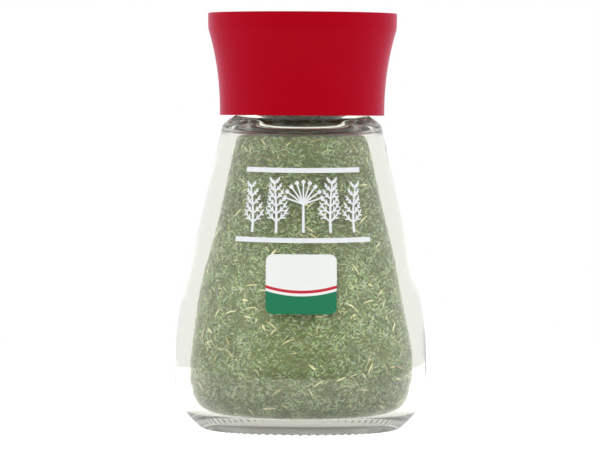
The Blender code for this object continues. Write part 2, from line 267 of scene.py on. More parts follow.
FINE_SURFACE = surface_group()


def surfaced(tree, shader, depth, **values):
    """Gives a material the shared fine surface, as deep as depth in millimetres, and returns its node."""
    fine = node(tree, "ShaderNodeGroup", node_tree=FINE_SURFACE)
    for name, value in values.items():
        fine.inputs[name.replace("_", " ")].default_value = value
    tree.links.new(fine.outputs["Roughness"], shader.inputs["Roughness"])
    bump = node(tree, "ShaderNodeBump", {"Height": fine.outputs["Height"], "Distance": depth * MM})
    tree.links.new(bump.outputs[0], shader.inputs["Normal"])
    return fine


def tinted(tree, shader, low, high, factor):
    """Base colour that runs between two colours with a factor."""
    mix = node(tree, "ShaderNodeMix", {0: factor, 6: (*low, 1), 7: (*high, 1)}, data_type="RGBA")
    tree.links.new(mix.outputs[2], shader.inputs["Base Color"])


glass, tree, shader = painted("soda_lime_glass", (0.95, 0.957, 0.875), 0.0)
shader.inputs["Transmission Weight"].default_value = 1.0
shader.inputs["IOR"].default_value = 1.5
fine = surfaced(tree, shader, 0.01, Grain_Size=2.0, Grain=0.1, Wave_Size=9.0, Wave=1.0, Roughness=0.0, Spread=0.0)
place = node(tree, "ShaderNodeTexCoord").outputs["Object"]
parts = node(tree, "ShaderNodeSeparateXYZ", {0: place}).outputs
squares = [node(tree, "ShaderNodeMath", {0: parts[i], 1: parts[i]}, operation="MULTIPLY").outputs[0] for i in (0, 1)]
out = node(tree, "ShaderNodeMath", {0: squares[0], 1: squares[1]}, operation="ADD").outputs[0]
middle = sum((r * MM) ** 2 for r in BEARING_R) / 2
spread = (BEARING_R[1] * MM) ** 2 - middle
ring = node(tree, "ShaderNodeMath", {0: out, 1: middle, 2: spread}, operation="COMPARE").outputs[0]
within = node(tree, "ShaderNodeMath", {0: out, 1: (22.95 * MM) ** 2}, operation="LESS_THAN").outputs[0]
below = node(tree, "ShaderNodeMath", {0: parts["Z"], 1: 1.9 * MM}, operation="LESS_THAN").outputs[0]
under = node(tree, "ShaderNodeMath", {0: within, 1: below}, operation="MULTIPLY").outputs[0]
grain = node(tree, "ShaderNodeMath", {0: ring, 1: 0.1, 2: 0.16}, operation="MULTIPLY_ADD").outputs[0]
stipple = node(tree, "ShaderNodeMath", {0: under, 1: grain}, operation="MULTIPLY").outputs[0]
tree.links.new(stipple, shader.inputs["Roughness"])
glass_jar.data.materials.append(glass)
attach(glass_jar, "jar")
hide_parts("glass_jar")

# The filling is dill leaf, dried and cut to bits of a few millimetres, with some pale bits of stem. It
# lies loose, packed by its own weight, and presses against the whole inside of the glass. A bed of the
# same leaf is modelled under the outermost bits; its colour is painted darker than theirs, as painted
# shade among them.
DILL_TOP_Z = 67.5
DILL_HEAP = 0.5
# SHADE_Z and SHADE_R mark the top of the filling under the neck, which is painted dark as painted shade.
SHADE_Z = (66.5, 66.9)
SHADE_R = (14.9, 15.3)
BED_INSET = 1.0
BED_SEGMENTS = 160
BED_ROUGH = 0.25
SHELL_INSET = 0.42
BIT_DEPTH = (-0.42, 0.16)
BIT_CLEARANCE = 0.06
LEAF_LENGTH = 1.85
LEAF_WIDTH = 0.4
LEAVES_PER_MM2 = 1.25
STEMS_PER_MM2 = 0.035
# Steps of painted light and shade by height: painted shade near the base, painted light in the middle.
PAINTED_LIGHT_BY_HEIGHT = ((0.13, 0.78), (0.24, 1.16), (0.5, 1.22), (0.8, 1.0))
LEAF_TONES = {
    "dill_leaf_green": ((0.18, 0.27, 0.1), (0.47, 0.66, 0.35), 11),
    "dill_leaf_grey": ((0.2, 0.25, 0.17), (0.53, 0.61, 0.51), 23),
    "dill_leaf_olive": ((0.27, 0.28, 0.14), (0.66, 0.71, 0.47), 37),
}
STEM_TONES = ((0.5, 0.46, 0.24), (0.85, 0.82, 0.58))


def inset(outline, distance):
    """The inside of the glass, moved in by a distance."""
    moved = []
    for i, (r, z) in enumerate(outline):
        before, after = Vector(outline[max(i - 1, 0)]), Vector(outline[min(i + 1, len(outline) - 1)])
        along = (after - before).normalized()
        point = Vector((max(r - along.y * distance, 0), z + along.x * distance))
        if not moved or (point - moved[-1]).dot(along) > 0:
            moved.append(point)
    return [tuple(point) for point in moved]


def filling_outline(distance):
    """The outline of the filling, at a distance in from the glass, nearly level at the foot of the neck."""
    outline = [point for point in inset(glass_inside(), distance) if point[1] < DILL_TOP_Z - distance]
    edge_r = outline[-1][0]
    middle_z = DILL_TOP_Z + DILL_HEAP - distance
    return outline + curve(outline[-1], (edge_r * 0.85, middle_z), (edge_r * 0.4, middle_z), (0, middle_z), 8)


def even(outline, step):
    """The same outline with points about one step apart."""
    lengths = np.cumsum([0] + [math.dist(a, b) for a, b in zip(outline, outline[1:])])
    places = np.linspace(0, lengths[-1], round(lengths[-1] / step))
    return [(float(np.interp(p, lengths, [o[0] for o in outline])),
             float(np.interp(p, lengths, [o[1] for o in outline]))) for p in places]


def sliver(name, length, width, bow, twist, sides, rings):
    """A closed bit of leaf or stem along X, pointed at both ends, bowed sideways and upwards."""
    mesh = bmesh.new()
    rows = []
    for ring in range(rings + 2):
        t = ring / (rings + 1)
        middle = Vector(((t - 0.5) * length, bow * (1 - (2 * t - 1) ** 2), twist * math.sin(t * math.pi)))
        if ring in (0, rings + 1):
            rows.append([mesh.verts.new(middle)] * sides)
            continue
        full = math.sin(max(t, 1 - t) * math.pi) ** 0.5
        row = []
        for side in range(sides):
            angle = side / sides * math.tau
            row.append(mesh.verts.new(middle + Vector((0, width / 2 * math.cos(angle), width / 4 * math.sin(angle))) * full))
        rows.append(row)
    for near, far in zip(rows, rows[1:]):
        for side in range(sides):
            corners = (near[side], near[(side + 1) % sides], far[(side + 1) % sides], far[side])
            mesh.faces.new(tuple(dict.fromkeys(corners)))
    for vert in mesh.verts:
        vert.co *= MM
    made = finished(name, mesh, 180)
    made.hide_render = True
    return made


def scatter_tree():
    """Bits of several shapes laid on a surface: flat on it, turned at random and pushed in a little."""
    group = bpy.data.node_groups.new("loose_bits", "GeometryNodeTree")
    face = group.interface
    face.new_socket("Geometry", in_out="OUTPUT", socket_type="NodeSocketGeometry")
    wanted = {"Geometry": "Geometry", "Bits": "Collection", "Density": "Float", "Seed": "Int",
              "Deepest": "Float", "Highest": "Float", "Tilt": "Float", "Smallest": "Float", "Finish": "Material"}
    for name, kind in wanted.items():
        face.new_socket(name, in_out="INPUT", socket_type="NodeSocket" + kind)
    taken = node(group, "NodeGroupInput").outputs
    given = node(group, "NodeGroupOutput").inputs

    def chance(kind, low, high, salt):
        seed = node(group, "ShaderNodeMath", {0: taken["Seed"], 1: salt}, operation="ADD").outputs[0]
        made = node(group, "FunctionNodeRandomValue", data_type=kind)
        ins = [s for s in made.inputs if s.enabled]
        outs = [s for s in made.outputs if s.enabled]
        for socket, value in zip(ins, (low, high)):
            if isinstance(value, bpy.types.NodeSocket):
                group.links.new(value, socket)
            else:
                socket.default_value = value
        group.links.new(seed, made.inputs["Seed"])
        return outs[0]

    spread = node(
        group,
        "GeometryNodeDistributePointsOnFaces",
        {"Mesh": taken["Geometry"], "Density": taken["Density"], "Seed": taken["Seed"]},
    )
    lift = node(group, "ShaderNodeVectorMath", {0: spread.outputs["Normal"]}, operation="SCALE")
    group.links.new(chance("FLOAT", taken["Deepest"], taken["Highest"], 1), lift.inputs["Scale"])
    placed = node(
        group, "GeometryNodeSetPosition", {"Geometry": spread.outputs["Points"], "Offset": lift.outputs[0]}
    )
    down = node(group, "ShaderNodeMath", {0: taken["Tilt"], 1: -1.0}, operation="MULTIPLY").outputs[0]
    low = node(group, "ShaderNodeCombineXYZ", {"X": down, "Y": down, "Z": -1.25}).outputs[0]
    high = node(group, "ShaderNodeCombineXYZ", {"X": taken["Tilt"], "Y": taken["Tilt"], "Z": 1.25}).outputs[0]
    turn = node(group, "FunctionNodeEulerToRotation", {0: chance("FLOAT_VECTOR", low, high, 2)}).outputs[0]
    upright = node(group, "FunctionNodeAlignRotationToVector", {"Vector": spread.outputs["Normal"]}, axis="Z")
    level = node(
        group, "ShaderNodeVectorMath", {0: (0, 0, 1), 1: spread.outputs["Normal"]}, operation="CROSS_PRODUCT"
    ).outputs[0]
    level = node(
        group,
        "FunctionNodeAlignRotationToVector",
        {"Rotation": upright.outputs[0], "Vector": level},
        axis="X",
        pivot_axis="Z",
    )
    facing = node(
        group,
        "FunctionNodeRotateRotation",
        {"Rotation": level.outputs[0], "Rotate By": turn},
        rotation_space="LOCAL",
    )
    bits = node(group, "GeometryNodeCollectionInfo", {"Collection": taken["Bits"], 1: True, 2: True})
    laid = node(
        group,
        "GeometryNodeInstanceOnPoints",
        {
            "Points": placed.outputs[0],
            "Instance": bits.outputs[0],
            "Pick Instance": True,
            "Instance Index": chance("INT", 0, 100, 3),
            "Rotation": facing.outputs[0],
            "Scale": chance("FLOAT", taken["Smallest"], 1.0, 4),
        },
    )
    toned = node(
        group,
        "GeometryNodeStoreNamedAttribute",
        {"Geometry": laid.outputs[0], "Name": "tone"},
        data_type="FLOAT",
        domain="INSTANCE",
    )
    group.links.new(chance("FLOAT", 0.0, 1.0, 5), [s for s in toned.inputs if s.name == "Value" and s.enabled][0])
    real = node(group, "GeometryNodeRealizeInstances", {"Geometry": toned.outputs[0]})
    done = node(group, "GeometryNodeSetMaterial", {"Geometry": real.outputs[0], "Material": taken["Finish"]})
    group.links.new(done.outputs[0], given["Geometry"])
    return group


def scattered(name, surface, tree, values):
    """The result of a scatter tree on a copy of a surface, as a plain mesh."""
    made = surface.copy()
    made.data = surface.data.copy()
    made.name = name
    bpy.context.scene.collection.objects.link(made)
    modifier = made.modifiers.new("scatter", "NODES")
    modifier.node_group = tree
    for item in tree.interface.items_tree:
        if item.in_out == "INPUT" and item.name in values:
            modifier[item.identifier] = values[item.name]
    graph = bpy.context.evaluated_depsgraph_get()
    data = bpy.data.meshes.new_from_object(made.evaluated_get(graph))
    made.modifiers.remove(modifier)
    made.data = data
    data.name = name
    return made


def kept_inside(piece):
    """Moves the points that would touch the glass back in along the wall's slope."""
    wall = np.array(even(inset(glass_inside(), BIT_CLEARANCE), 0.25))
    along = np.gradient(wall, axis=0)
    along /= np.linalg.norm(along, axis=1)[:, None]
    out = np.stack([along[:, 1], -along[:, 0]], axis=1)
    co = np.empty(len(piece.data.vertices) * 3)
    piece.data.vertices.foreach_get("co", co)
    co = co.reshape(-1, 3) / MM
    r = np.hypot(co[:, 0], co[:, 1])
    for part in np.array_split(np.arange(len(co)), 1 + len(co) // 20000):
        flat = np.stack([r[part], co[part, 2]], axis=1)
        nearest = np.argmin(((flat[:, None] - wall[None]) ** 2).sum(axis=2), axis=1)
        past = ((flat - wall[nearest]) * out[nearest]).sum(axis=1).clip(0)
        flat -= out[nearest] * past[:, None]
        co[part, :2] *= (flat[:, 0] / np.maximum(r[part], 1e-6))[:, None]
        co[part, 2] = flat[:, 1]
    piece.data.vertices.foreach_set("co", (co * MM).ravel())
    piece.data.update()


def painted_light_and_shade_group():
    """Painted light and shade on the leaf by its place: painted shade near the base, painted light in the middle, and
    painted shade on the top of the filling under the neck.
    """
    group = bpy.data.node_groups.new("painted_leaf_light_and_shade", "ShaderNodeTree")
    group.interface.new_socket("Colour", in_out="INPUT", socket_type="NodeSocketColor")
    group.interface.new_socket("Colour", in_out="OUTPUT", socket_type="NodeSocketColor")
    place = node(group, "ShaderNodeTexCoord").outputs["Object"]
    height = node(group, "ShaderNodeSeparateXYZ", {0: place}).outputs["Z"]
    level = node(group, "ShaderNodeVectorMath", {0: place, 1: (1, 1, 0)}, operation="MULTIPLY").outputs[0]
    out = node(group, "ShaderNodeVectorMath", {0: level}, operation="LENGTH").outputs["Value"]
    high = node(group, "ShaderNodeMapRange", {0: height, 1: SHADE_Z[0] * MM, 2: SHADE_Z[1] * MM}).outputs[0]
    near = node(group, "ShaderNodeMapRange", {0: out, 1: SHADE_R[1] * MM, 2: SHADE_R[0] * MM}).outputs[0]
    dark = node(group, "ShaderNodeMath", {0: high, 1: near}, operation="MULTIPLY").outputs[0]
    share = node(group, "ShaderNodeMath", {0: height, 1: DILL_TOP_Z * MM}, operation="DIVIDE").outputs[0]
    ramp = node(group, "ShaderNodeValToRGB", {0: share})
    ramp.color_ramp.elements[0].color = (0.7, 0.7, 0.7, 1)
    for spot, tone in PAINTED_LIGHT_BY_HEIGHT:
        ramp.color_ramp.elements.new(spot).color = (tone, tone, tone, 1)
    lit = node(group, "ShaderNodeMix", {0: dark, 2: ramp.outputs[0], 3: 0.4}, data_type="FLOAT").outputs[0]
    taken = node(group, "NodeGroupInput").outputs[0]
    shaded = node(group, "ShaderNodeVectorMath", {0: taken}, operation="SCALE")
    group.links.new(lit, shaded.inputs["Scale"])
    group.links.new(shaded.outputs[0], node(group, "NodeGroupOutput").inputs[0])
    return group


PAINTED_LIGHT_AND_SHADE = painted_light_and_shade_group()


def apply_painted_light_and_shade(tree, shader):
    """Runs the base colour through the leaf's painted light and shade."""
    shade = node(tree, "ShaderNodeGroup", {0: shader.inputs["Base Color"].links[0].from_socket}, node_tree=PAINTED_LIGHT_AND_SHADE)
    tree.links.new(shade.outputs[0], shader.inputs["Base Color"])


def leaf_finish(name, dark, light):
    """Dried leaf: each bit has its own tone, paler along parts of it, with a dull papery surface."""
    material, tree, shader = painted(name, light, 0.75)
    tone = node(tree, "ShaderNodeAttribute", attribute_name="tone").outputs["Fac"]
    fine = surfaced(tree, shader, 0.05, Grain_Size=0.12, Grain=0.6, Wave_Size=1.2, Wave=0.5, Roughness=0.7, Spread=0.3)
    centred = node(tree, "ShaderNodeMath", {0: fine.outputs["Mottle"], 1: 0.5}, operation="SUBTRACT").outputs[0]
    mixed = node(tree, "ShaderNodeMath", {0: centred, 1: 0.8, 2: tone}, operation="MULTIPLY_ADD", use_clamp=True)
    place = node(tree, "ShaderNodeTexCoord").outputs["Object"]
    patches = node(tree, "ShaderNodeTexNoise", {"Vector": place, "Scale": 0.3 / MM, "Detail": 1.0}).outputs[0]
    shift = node(tree, "ShaderNodeMath", {0: patches, 1: 0.5}, operation="SUBTRACT").outputs[0]
    final = node(tree, "ShaderNodeMath", {0: shift, 1: 2.0, 2: mixed.outputs[0]}, operation="MULTIPLY_ADD", use_clamp=True)
    tinted(tree, shader, dark, light, final.outputs[0])
    # Painted light and shade by place: darker near the base and on top, lighter in the middle.
    apply_painted_light_and_shade(tree, shader)
    shader.inputs["Specular IOR Level"].default_value = 0.25
    return material


def bed_shape(angle, r, z):
    push = math.sin(angle * 61 + z * 2.9) * math.sin(z * 3.7 - angle * 23) * BED_ROUGH
    return max(r + push * min(1, r / 5), 0), z + push * 0.3


bed = turned("dill_bed", even(filling_outline(BED_INSET), 0.9), BED_SEGMENTS, bed_shape)
# The bed's colour is painted darker than the loose bits, as painted shade among them.
bed_painted_shade_finish, tree, shader = painted("packed_leaf_painted_shade", (0.2, 0.23, 0.12), 0.9)
fine = surfaced(tree, shader, 0.4, Grain_Size=0.5, Grain=1.0, Wave_Size=2.0, Wave=1.0, Roughness=0.9, Spread=0.1)
tinted(tree, shader, (0.1, 0.13, 0.06), (0.34, 0.39, 0.2), fine.outputs["Mottle"])
# The bed also gets the painted light and shade by place: darker near the base and on top, lighter in the middle.
apply_painted_light_and_shade(tree, shader)
bed.data.materials.append(bed_painted_shade_finish)
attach(bed, "jar")
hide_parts("dried_dill")

shell = turned("bit_surface", even(filling_outline(SHELL_INSET), 1.5), 96)
scatter = scatter_tree()
leaf_shapes = bpy.data.collections.new("leaf_shapes")
for i, (size, bow, twist) in enumerate(((1.0, 0.1, 0.03), (0.8, 0.35, 0.08), (0.62, -0.2, 0.12), (0.9, -0.5, 0.02))):
    shape = sliver(f"leaf_shape_{i}", LEAF_LENGTH * size, LEAF_WIDTH, bow, twist, 3, 2)
    bpy.context.scene.collection.objects.unlink(shape)
    leaf_shapes.objects.link(shape)
stem_shapes = bpy.data.collections.new("stem_shapes")
for i, (length, width, bow) in enumerate(((3.4, 0.5, 0.1), (2.4, 0.62, 0.05), (4.2, 0.4, 0.4))):
    shape = sliver(f"stem_shape_{i}", length, width, bow, 0.05, 6, 4)
    bpy.context.scene.collection.objects.unlink(shape)
    stem_shapes.objects.link(shape)
for name, (dark, light, seed) in LEAF_TONES.items():
    leaves = scattered(
        name,
        shell,
        scatter,
        {
            "Bits": leaf_shapes,
            "Density": LEAVES_PER_MM2 / MM**2,
            "Seed": seed,
            "Deepest": BIT_DEPTH[0] * MM,
            "Highest": BIT_DEPTH[1] * MM,
            "Tilt": 0.22,
            "Smallest": 0.6,
            "Finish": leaf_finish(name, dark, light),
        },
    )
    kept_inside(leaves)
    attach(leaves, "jar")
stems = scattered(
    "dill_stems",
    shell,
    scatter,
    {
        "Bits": stem_shapes,
        "Density": STEMS_PER_MM2 / MM**2,
        "Seed": 5,
        "Deepest": -0.1 * MM,
        "Highest": 0.2 * MM,
        "Tilt": 0.12,
        "Smallest": 0.5,
        "Finish": leaf_finish("dill_stem", *STEM_TONES),
    },
)
kept_inside(stems)
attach(stems, "jar")
for extra in [shell, *leaf_shapes.objects, *stem_shapes.objects]:
    bpy.data.objects.remove(extra)

# The shaker insert is a thin moulding of natural polyethylene. Its flange lies on the glass rim, its
# plug skirt is pressed into the bore, and the herb is shaken out through seven holes.
INSERT_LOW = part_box("glass_jar")[1].z / MM + 0.3
INSERT_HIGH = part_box("shaker_insert")[1].z / MM
INSERT_FLANGE_R = 14.2
PLUG_R = (10.55, 11.55)
PLUG_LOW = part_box("shaker_insert")[0].z / MM
HOLE_R = 1.9
HOLE_CIRCLE_R = 5.7
insert_edge = 0.2
insert_outline = [(0, INSERT_HIGH), (INSERT_FLANGE_R - insert_edge, INSERT_HIGH)]
insert_outline += [(INSERT_FLANGE_R, INSERT_HIGH - insert_edge), (INSERT_FLANGE_R, INSERT_LOW), (PLUG_R[1], INSERT_LOW)]
insert_outline += [(PLUG_R[1], PLUG_LOW + 0.6), (PLUG_R[1] - 0.3, PLUG_LOW), (PLUG_R[0], PLUG_LOW)]
insert_outline += [(PLUG_R[0], INSERT_LOW), (0, INSERT_LOW)]
insert = turned("shaker_disc", insert_outline, 144)
hole_places = [(0, 0)] + [
    (HOLE_CIRCLE_R * math.cos(i * math.tau / 6), HOLE_CIRCLE_R * math.sin(i * math.tau / 6)) for i in range(6)
]
punches = bpy.data.collections.new("punches")
for x, y in hole_places:
    mesh = bmesh.new()
    bmesh.ops.create_cone(
        mesh, cap_ends=True, segments=40, radius1=HOLE_R * MM, radius2=HOLE_R * MM, depth=4 * MM,
        matrix=Matrix.Translation(Vector((x, y, (INSERT_LOW + INSERT_HIGH) / 2)) * MM),
    )
    punch = finished("punch", mesh)
    bpy.context.scene.collection.objects.unlink(punch)
    punches.objects.link(punch)
cut = insert.modifiers.new("holes", "BOOLEAN")
cut.operation = "DIFFERENCE"
cut.operand_type = "COLLECTION"
cut.collection = punches
holed = bpy.data.meshes.new_from_object(insert.evaluated_get(bpy.context.evaluated_depsgraph_get()))
insert.modifiers.remove(cut)
insert.data = holed
for punch in list(punches.objects):
    bpy.data.objects.remove(punch)
polyethylene, tree, shader = painted("natural_polyethylene", (0.82, 0.82, 0.78), 0.4)
fine = surfaced(tree, shader, 0.02, Grain_Size=0.3, Grain=0.5, Wave_Size=5.0, Wave=0.6, Roughness=0.38, Spread=0.2)
tinted(tree, shader, (0.76, 0.76, 0.71), (0.86, 0.86, 0.83), fine.outputs["Mottle"])
shader.inputs["Subsurface Weight"].default_value = 0.3
shader.inputs["Subsurface Scale"].default_value = 1.5 * MM
insert.data.materials.clear()
insert.data.materials.append(polyethylene)
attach(insert, "jar")
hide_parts("shaker_insert")

# The liner is a disc of thin white foam, punched from sheet. It lies in the top of the cap, and the
# closed cap presses it on the insert's flange.
liner_low, liner_high = (corner.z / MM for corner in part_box("cap_liner"))
LINER_R = 15.8
liner_ring = (12.4, 14.0)
liner_outline = [(0, liner_high), (LINER_R - 0.1, liner_high), (LINER_R, liner_high - 0.1), (LINER_R, liner_low + 0.1)]
liner_outline += [(LINER_R - 0.1, liner_low), (liner_ring[1] + 0.2, liner_low), (liner_ring[1], liner_low + 0.08)]
liner_outline += [(liner_ring[0], liner_low + 0.08), (liner_ring[0] - 0.2, liner_low), (0, liner_low)]
liner = turned("foam_liner", liner_outline, 144)
foam, tree, shader = painted("liner_foam", (0.86, 0.85, 0.81), 0.8)
fine = surfaced(tree, shader, 0.08, Grain_Size=0.25, Grain=1.0, Wave_Size=3.0, Wave=0.4, Roughness=0.8, Spread=0.1)
tinted(tree, shader, (0.8, 0.79, 0.74), (0.9, 0.89, 0.86), fine.outputs["Mottle"])
liner.data.materials.append(foam)
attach(liner, "liner")
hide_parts("cap_liner")

# The screw cap is one moulding of red polypropylene with a satin outside. The outer skirt flares to a
# straight band under the flat top, and a shorter inner skirt carries the thread that grips the neck.
CAP_BOTTOM_Z, CAP_TOP_Z = (corner.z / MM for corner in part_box("screw_cap"))
CAP_TOP_R = 21.6
CAP_BOTTOM_R = 18.8
CAP_BAND_Z = 91.1
CAP_BAND_R = 21.46
CAP_FLARE_POWER = 2.2
CAP_EDGE_ROUND = 0.5
CAP_WALL = (1.25, 2.2)
CAP_PLATE = 1.6
SKIRT_R = (16.2, 17.1)
SKIRT_Z = 75.6
CAP_TURNS = 1.25
CAP_CREST = 1.25
CAP_SEGMENTS = 256


def cap_outline():
    steps = 36
    outside, inside = [], []
    for i in range(steps + 1):
        share = i / steps
        r = CAP_BOTTOM_R + (CAP_BAND_R - CAP_BOTTOM_R) * share**CAP_FLARE_POWER
        z = CAP_BOTTOM_Z + (CAP_BAND_Z - CAP_BOTTOM_Z) * share
        outside.append((r, z))
        inside.append((r - CAP_WALL[0] - (CAP_WALL[1] - CAP_WALL[0]) * share, z))
    corner = (CAP_TOP_R, CAP_TOP_Z)
    edge = curve((CAP_TOP_R - CAP_EDGE_ROUND, CAP_TOP_Z), corner, corner, (CAP_TOP_R, CAP_TOP_Z - CAP_EDGE_ROUND), 8)
    gate = [(0, CAP_TOP_Z - 0.25), (0.9, CAP_TOP_Z - 0.25), (1.2, CAP_TOP_Z)]
    under = CAP_TOP_Z - CAP_PLATE
    band = [(CAP_TOP_R, 93.2), (CAP_TOP_R - 0.03, 92.0)]
    outline = [*gate, (CAP_TOP_R - CAP_EDGE_ROUND, CAP_TOP_Z), *edge, *band, *reversed(outside)]
    outline += [(inside[0][0] + 0.15, CAP_BOTTOM_Z), *inside[1:], (inside[-1][0], under)]
    outline += [(SKIRT_R[1], under), (SKIRT_R[1], SKIRT_Z), (SKIRT_R[0], SKIRT_Z)]
    outline += straight((SKIRT_R[0], SKIRT_Z), (SKIRT_R[0], under), 80)
    return [*outline, (0, under)]


def cap_shape(angle, r, z):
    if abs(r - SKIRT_R[0]) < 0.01 and SKIRT_Z < z < CAP_TOP_Z - CAP_PLATE:
        return r - CAP_CREST * thread_ridge(angle, z, NECK_THREAD_Z - THREAD_RISE / 2, CAP_TURNS), z
    return r, z


cap = turned("cap_moulding", cap_outline(), CAP_SEGMENTS, cap_shape)
red_plastic, tree, shader = painted("red_polypropylene", (0.41, 0.0, 0.006), 0.34)
fine = surfaced(tree, shader, 0.012, Grain_Size=0.18, Grain=0.8, Wave_Size=7.0, Wave=1.0, Roughness=0.24, Spread=0.1)
tinted(tree, shader, (0.4, 0.0, 0.005), (0.42, 0.0, 0.008), fine.outputs["Mottle"])
shader.inputs["Specular IOR Level"].default_value = 0.04
shader.inputs["Sheen Weight"].default_value = 0.26
shader.inputs["Sheen Roughness"].default_value = 0.5
shader.inputs["Sheen Tint"].default_value = (1.0, 0.1, 0.45, 1)
cap.data.materials.append(red_plastic)
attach(cap, "cap")
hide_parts("screw_cap")

# The print is a thin coat of white enamel, screened and fired on the outside of the glass. Two plain
# rules run round a third of the cone, and a row of dill sprigs stands between them.
PRINT_MIDDLE = math.radians(1.0)
UPPER_RULE = (58.88, 59.96, math.radians(38.2))
LOWER_RULE = (43.32, 44.4, math.radians(39.0))
RULE_BOW = 0.2
INK_THICKNESS = 0.05
INK_LIFT = 0.01
SPRIG_FOOT_Z = 45.6
SPRIG_HEIGHT = 11.6
OUTSIDE_WALL = glass_outside()


def on_glass(angle, z, lift):
    """The point on the outside of the glass at an angle from the front, lifted off it."""
    r = np.interp(z, [p[1] for p in OUTSIDE_WALL], [p[0] for p in OUTSIDE_WALL]) + lift
    return Vector((r * math.sin(angle), -r * math.cos(angle), z)) * MM


def stroke(mesh, points, widths, lift=INK_LIFT):
    """A thin closed ribbon on the glass through (angle, height) points, as wide as widths in millimetres."""
    rows = []
    for i, (angle, z) in enumerate(points):
        r = float(np.interp(z, [p[1] for p in OUTSIDE_WALL], [p[0] for p in OUTSIDE_WALL]))
        before, after = points[max(i - 1, 0)], points[min(i + 1, len(points) - 1)]
        along = Vector(((after[0] - before[0]) * r, after[1] - before[1])).normalized()
        across = Vector((-along.y, along.x)) * widths[i] / 2
        row = []
        for side, high in ((1, 0), (-1, 0), (-1, INK_THICKNESS), (1, INK_THICKNESS)):
            row.append(mesh.verts.new(on_glass(angle + across.x * side / r, z + across.y * side, lift + high)))
        rows.append(row)
    for near, far in zip(rows, rows[1:]):
        for i in range(4):
            mesh.faces.new((near[i], near[(i + 1) % 4], far[(i + 1) % 4], far[i]))
    mesh.faces.new(rows[0])
    mesh.faces.new(rows[-1])


def rule(mesh, low, high, half_angle):
    """A plain printed line round the front of the cone."""
    steps = 40
    shares = [2 * i / steps - 1 for i in range(steps + 1)]
    points = [(PRINT_MIDDLE + half_angle * share, (low + high) / 2 + RULE_BOW * share**2) for share in shares]
    stroke(mesh, points, [high - low] * (steps + 1))


def sprig(mesh, foot, lean, height, pairs):
    """A feathery leaf: a stem with pairs of side shoots, each of them with short leaflets."""
    r = 22.0
    stem = []
    for i in range(13):
        t = i / 12
        stem.append((foot + lean * t * t / r, SPRIG_FOOT_Z + height * t))
    stroke(mesh, stem, [0.62 - 0.3 * i / 12 for i in range(13)])
    for pair in range(pairs):
        t = 0.22 + 0.72 * pair / (pairs - 1)
        start = (foot + lean * t * t / r, SPRIG_FOOT_Z + height * t)
        reach = height * 0.3 * (1 - 0.62 * t)
        for side in (-1, 1):
            shoot = []
            for i in range(7):
                s = i / 6
                shoot.append((start[0] + side * reach * s * (1 - 0.15 * s) / r, start[1] + reach * s * (0.55 + 0.45 * s)))
            stroke(mesh, shoot, [0.46 - 0.2 * i / 6 for i in range(7)], INK_LIFT + 0.002)
            for i in (2, 4):
                for way in (-1, 1):
                    tip = reach * 0.42 * (1 - 0.25 * (i == 4))
                    root = shoot[i]
                    end = (root[0] + side * tip * (0.5 - 0.4 * way) / r, root[1] + tip * (0.45 + 0.45 * way))
                    half = ((root[0] + end[0]) / 2, (root[1] + end[1]) / 2)
                    stroke(mesh, [root, half, end], [0.36, 0.34, 0.24], INK_LIFT + 0.004)


def umbel(mesh, foot, height):
    """A flower head: a stem with a fan of rays, each with a dot at its end."""
    r = 22.0
    crown = SPRIG_FOOT_Z + height * 0.55
    stroke(mesh, [(foot, SPRIG_FOOT_Z), (foot, (SPRIG_FOOT_Z + crown) / 2), (foot, crown)], [0.62, 0.56, 0.5])
    rays = 9
    for i in range(rays):
        fan = math.radians(-72 + 144 * i / (rays - 1))
        reach = height * 0.42 * (0.86 + 0.14 * math.cos(fan))
        tip = (foot + reach * math.sin(fan) / r, crown + reach * math.cos(fan))
        half = (foot + reach * 0.5 * math.sin(fan) / r, crown + reach * 0.52 * math.cos(fan))
        stroke(mesh, [(foot, crown - 0.1), half, tip], [0.36, 0.34, 0.34], INK_LIFT + 0.002)
        dot = [(tip[0], tip[1] + 0.5 * (s / 4 - 1)) for s in range(9)]
        stroke(mesh, dot, [1.04 * math.sin(math.pi * min(max(s, 0.4), 7.6) / 8) for s in range(9)], INK_LIFT + 0.004)


mesh = bmesh.new()
rule(mesh, *UPPER_RULE)
rule(mesh, *LOWER_RULE)
umbel(mesh, PRINT_MIDDLE, SPRIG_HEIGHT)
for side in (-1, 1):
    sprig(mesh, PRINT_MIDDLE + side * math.radians(15), side * 1.2, SPRIG_HEIGHT, 6)
    sprig(mesh, PRINT_MIDDLE + side * math.radians(29), side * 1.8, SPRIG_HEIGHT * 0.92, 5)
print_coat = finished("white_print", mesh)
enamel, tree, shader = painted("white_enamel", (0.86, 0.88, 0.9), 0.45)
fine = surfaced(tree, shader, 0.01, Grain_Size=0.15, Grain=1.0, Wave_Size=2.5, Wave=0.4, Roughness=0.45, Spread=0.15)
tinted(tree, shader, (0.8, 0.83, 0.87), (0.9, 0.92, 0.93), fine.outputs["Mottle"])
print_coat.data.materials.append(enamel)
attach(print_coat, "jar")

# The label is a small sticker of printed film with rounded corners, stuck to the front of the glass
# under the print. It is white with a green foot and a thin red line.
LABEL_Z = (27.6, 40.8)
LABEL_HALF_WIDTH = 8.0
LABEL_ROUND = 1.6
LABEL_THICKNESS = 0.12
LABEL_LIFT = 0.04
LABEL_WHITE = (0.88, 0.9, 0.88)
LABEL_GREEN = (0.0, 0.2, 0.085)
LABEL_RED = (0.6, 0.01, 0.03)
label_middle = sum(LABEL_Z) / 2
label_half_height = (LABEL_Z[1] - LABEL_Z[0]) / 2


